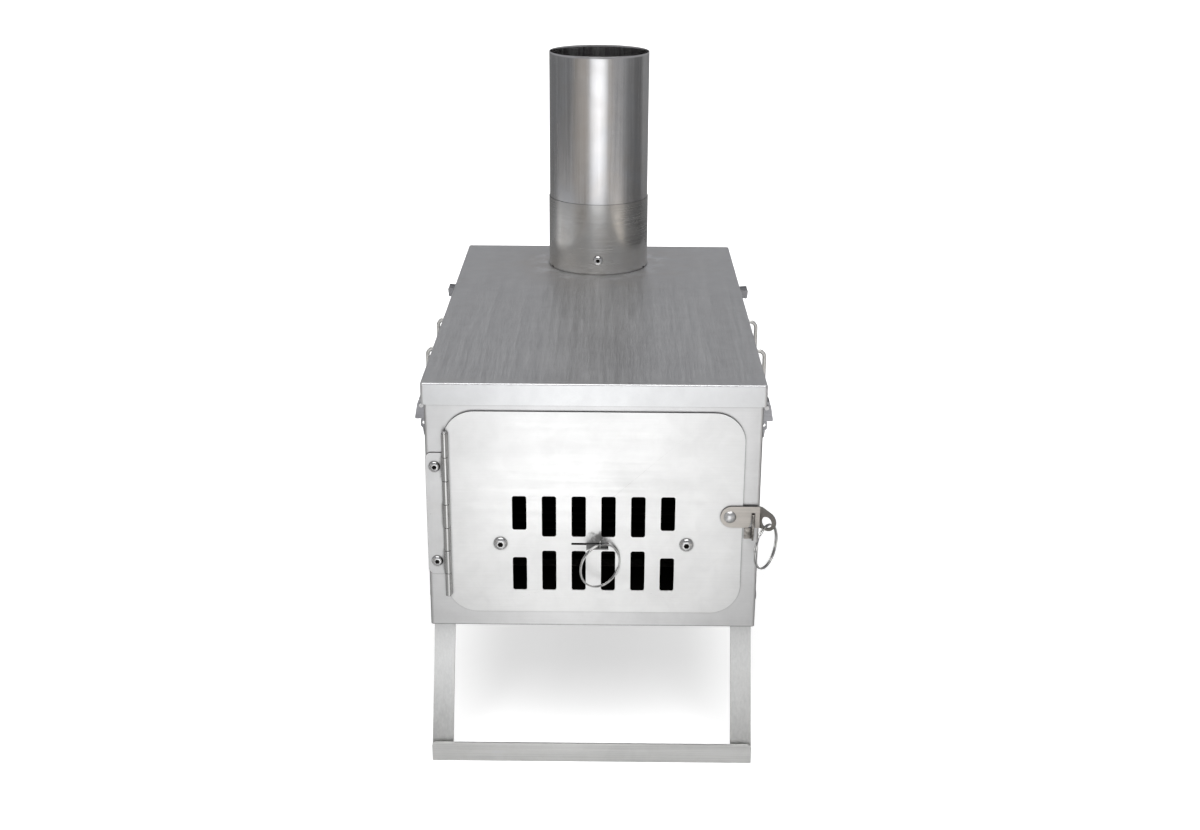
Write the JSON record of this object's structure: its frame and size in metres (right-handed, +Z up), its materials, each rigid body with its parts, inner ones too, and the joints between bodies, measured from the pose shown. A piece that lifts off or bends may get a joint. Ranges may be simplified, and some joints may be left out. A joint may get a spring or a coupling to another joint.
{
  "type": "tent wood stove",
  "caption": "Sheet-steel box stove for a tent, with a vented front door, draft slider, lift-off lid, flue pipe and folding leg frames.",
  "frame": {"origin": "on the ground plane under the middle of the stove with its legs unfolded", "axes": "+Z up, -Y the way the door faces, +X to the right of someone who faces the door"},
  "size_m": [0.2578, 0.44, 0.445],
  "materials": {
    "body_steel": "brushed",
    "grate_steel": "sooted",
    "lid_steel": "finely brushed",
    "pipe_steel": "rolled sheet, near mirror",
    "door_steel": "brushed",
    "leg_steel": "brushed",
    "latch_steel": "satin",
    "fastener_steel": "polished",
    "wire_steel": "polished"
  },
  "bodies": {
    "firebox": {"front_panel": "body_steel", "rear_panel": "body_steel", "side_left": "body_steel", "side_right": "body_steel", "firebox_floor": "body_steel", "fire_grate": "grate_steel", "hinge_frame_leaf": "body_steel", "hinge_pin": "fastener_steel", "hinge_screws": "fastener_steel", "latch_keeper": "latch_steel", "front_leg_pivots": "fastener_steel", "rear_leg_pivots": "fastener_steel", "clamp_base_front_left": "body_steel", "clamp_base_front_right": "body_steel", "clamp_base_rear_left": "body_steel", "clamp_base_rear_right": "body_steel", "clamp_pins": "fastener_steel", "handle_clips_left": "body_steel", "handle_clips_right": "body_steel"},
    "lid": {"lid": "lid_steel", "flue_collar": "pipe_steel", "collar_screws": "fastener_steel", "lid_catches": "lid_steel"},
    "pipe": {"flue_pipe": "pipe_steel"},
    "door": {"door_panel": "door_steel", "hinge_door_leaf": "door_steel", "slider_screws": "fastener_steel", "latch_rivet": "fastener_steel"},
    "slider": {"draft_slider": "door_steel"},
    "slider_ring": {"slider_ring": "wire_steel"},
    "latch": {"latch_lever": "latch_steel"},
    "latch_ring": {"latch_ring": "wire_steel"},
    "front_legs": {"front_leg_left": "leg_steel", "front_leg_right": "leg_steel", "front_foot_rail": "leg_steel"},
    "rear_legs": {"rear_leg_left": "leg_steel", "rear_leg_right": "leg_steel", "rear_foot_rail": "leg_steel"},
    "clamp_front_left": {"clamp_lever_front_left": "latch_steel"},
    "clamp_front_right": {"clamp_lever_front_right": "latch_steel"},
    "clamp_rear_left": {"clamp_lever_rear_left": "latch_steel"},
    "clamp_rear_right": {"clamp_lever_rear_right": "latch_steel"},
    "handle_left": {"carry_handle_left": "wire_steel"},
    "handle_right": {"carry_handle_right": "wire_steel"}
  },
  "joints": [
    {"name": "door_swing", "type": "hinge", "parent": "firebox", "child": "door", "pos_m": [-0.0996, -0.18975, 0.1734], "axis": [0, 0, -1], "range_deg": [0, 110]},
    {"name": "draft_slide", "type": "slide", "parent": "door", "child": "slider", "axis": [-1, 0, 0], "range_m": [0, 0.01]},
    {"name": "slider_ring_swing", "type": "hinge", "parent": "slider", "child": "slider_ring", "pos_m": [0.0049, -0.1954, 0.15485], "axis": [-0.9135, -0.4067, 0], "range_deg": [0, 80]},
    {"name": "latch_turn", "type": "hinge", "parent": "door", "child": "latch", "pos_m": [0.093, -0.1883, 0.1737], "axis": [0, -1, 0], "range_deg": [0, 35]},
    {"name": "latch_ring_swing", "type": "hinge", "parent": "latch", "child": "latch_ring", "pos_m": [0.11784, -0.1914, 0.16845], "axis": [-0.5736, -0.8192, 0], "range_deg": [0, 60]},
    {"name": "front_legs_fold", "type": "hinge", "parent": "firebox", "child": "front_legs", "pos_m": [0, -0.166, 0.104], "axis": [1, 0, 0], "range_deg": [0, 115]},
    {"name": "rear_legs_fold", "type": "hinge", "parent": "firebox", "child": "rear_legs", "pos_m": [0, 0.166, 0.104], "axis": [-1, 0, 0], "range_deg": [0, 115]},
    {"name": "lid_lift", "type": "slide", "parent": "firebox", "child": "lid", "axis": [0, 0, 1], "range_m": [0, 0.06]},
    {"name": "pipe_lift", "type": "slide", "parent": "lid", "child": "pipe", "axis": [0, 0, 1], "range_m": [0, 0.05]},
    {"name": "clamp_front_left_turn", "type": "hinge", "parent": "firebox", "child": "clamp_front_left", "pos_m": [-0.1168, -0.161, 0.2455], "axis": [0, 1, 0], "range_deg": [0, 110]},
    {"name": "clamp_front_right_turn", "type": "hinge", "parent": "firebox", "child": "clamp_front_right", "pos_m": [0.1168, -0.161, 0.2455], "axis": [0, -1, 0], "range_deg": [0, 110]},
    {"name": "clamp_rear_left_turn", "type": "hinge", "parent": "firebox", "child": "clamp_rear_left", "pos_m": [-0.1168, 0.119, 0.2455], "axis": [0, 1, 0], "range_deg": [-85, 25]},
    {"name": "clamp_rear_right_turn", "type": "hinge", "parent": "firebox", "child": "clamp_rear_right", "pos_m": [0.1168, 0.119, 0.2455], "axis": [0, -1, 0], "range_deg": [-85, 25]},
    {"name": "handle_left_swing", "type": "hinge", "parent": "firebox", "child": "handle_left", "pos_m": [-0.117, 0, 0.244], "axis": [0, 1, 0], "range_deg": [0, 90]},
    {"name": "handle_right_swing", "type": "hinge", "parent": "firebox", "child": "handle_right", "pos_m": [0.117, 0, 0.244], "axis": [0, -1, 0], "range_deg": [0, 90]}
  ]
}
